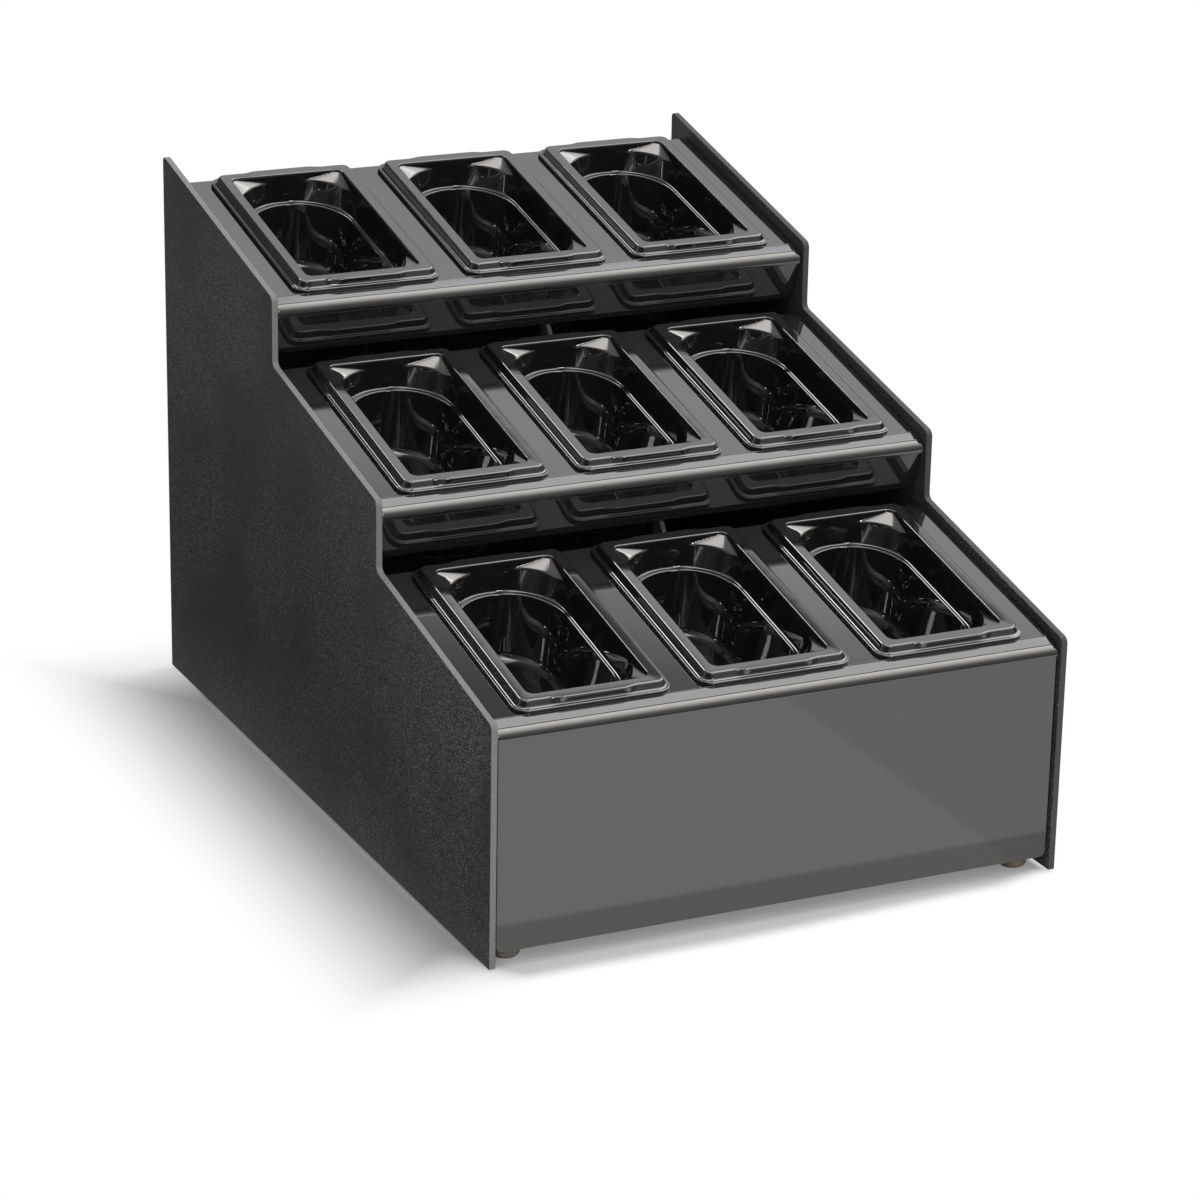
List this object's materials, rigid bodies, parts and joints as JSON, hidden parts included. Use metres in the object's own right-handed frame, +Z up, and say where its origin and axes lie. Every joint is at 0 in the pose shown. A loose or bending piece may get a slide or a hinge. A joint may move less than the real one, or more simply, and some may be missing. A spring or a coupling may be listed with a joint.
{
  "type": "condiment organizer",
  "caption": "Stepped countertop condiment organizer: black sloping decks between side panels, with lift-out food pans hanging in their cut-outs.",
  "frame": {"origin": "on the surface the feet stand on, under the middle of the side panels' width and depth", "axes": "+Z up, front faces -Y, +X to the right as seen from the front"},
  "size_m": [0.406, 0.583, 0.3861],
  "materials": {
    "textured_black": "fine haircell texture",
    "smooth_black": "smooth, semi-gloss",
    "gloss_black": "polished moulding",
    "clear_grey": "clear grey, slightly amber"
  },
  "bodies": {
    "stand": {"side_panel_left": "textured_black", "side_panel_right": "textured_black", "tier_sheet_front": "smooth_black", "tier_sheet_middle": "smooth_black", "tier_sheet_top": "smooth_black", "cleat_front_left": "textured_black", "cleat_front_right": "textured_black", "cleat_middle_left": "textured_black", "cleat_middle_right": "textured_black", "cleat_top_left": "textured_black", "cleat_top_right": "textured_black", "face_cleat_left": "textured_black", "face_cleat_right": "textured_black", "back_cleat_left": "textured_black", "back_cleat_right": "textured_black", "back_panel": "textured_black", "rail_front": "textured_black", "rail_back": "textured_black", "gusset_middle": "textured_black", "gusset_top": "textured_black", "foot_front_left": "clear_grey", "foot_front_right": "clear_grey", "foot_back_left": "clear_grey", "foot_back_right": "clear_grey"},
    "pan_front_left": {"pan_front_left": "gloss_black"},
    "pan_front_centre": {"pan_front_centre": "gloss_black"},
    "pan_front_right": {"pan_front_right": "gloss_black"},
    "pan_middle_left": {"pan_middle_left": "gloss_black"},
    "pan_middle_centre": {"pan_middle_centre": "gloss_black"},
    "pan_middle_right": {"pan_middle_right": "gloss_black"},
    "pan_top_left": {"pan_top_left": "gloss_black"},
    "pan_top_centre": {"pan_top_centre": "gloss_black"},
    "pan_top_right": {"pan_top_right": "gloss_black"}
  },
  "joints": [
    {"name": "lift_front_left", "type": "slide", "parent": "stand", "child": "pan_front_left", "axis": [0, -0.2113, 0.9774], "range_m": [0, 0.075]},
    {"name": "lift_front_centre", "type": "slide", "parent": "stand", "child": "pan_front_centre", "axis": [0, -0.2113, 0.9774], "range_m": [0, 0.075]},
    {"name": "lift_front_right", "type": "slide", "parent": "stand", "child": "pan_front_right", "axis": [0, -0.2113, 0.9774], "range_m": [0, 0.075]},
    {"name": "lift_middle_left", "type": "slide", "parent": "stand", "child": "pan_middle_left", "axis": [0, -0.2207, 0.9753], "range_m": [0, 0.075]},
    {"name": "lift_middle_centre", "type": "slide", "parent": "stand", "child": "pan_middle_centre", "axis": [0, -0.2207, 0.9753], "range_m": [0, 0.075]},
    {"name": "lift_middle_right", "type": "slide", "parent": "stand", "child": "pan_middle_right", "axis": [0, -0.2207, 0.9753], "range_m": [0, 0.075]},
    {"name": "lift_top_left", "type": "slide", "parent": "stand", "child": "pan_top_left", "axis": [0, -0.2207, 0.9753], "range_m": [0, 0.075]},
    {"name": "lift_top_centre", "type": "slide", "parent": "stand", "child": "pan_top_centre", "axis": [0, -0.2207, 0.9753], "range_m": [0, 0.075]},
    {"name": "lift_top_right", "type": "slide", "parent": "stand", "child": "pan_top_right", "axis": [0, -0.2207, 0.9753], "range_m": [0, 0.075]}
  ]
}
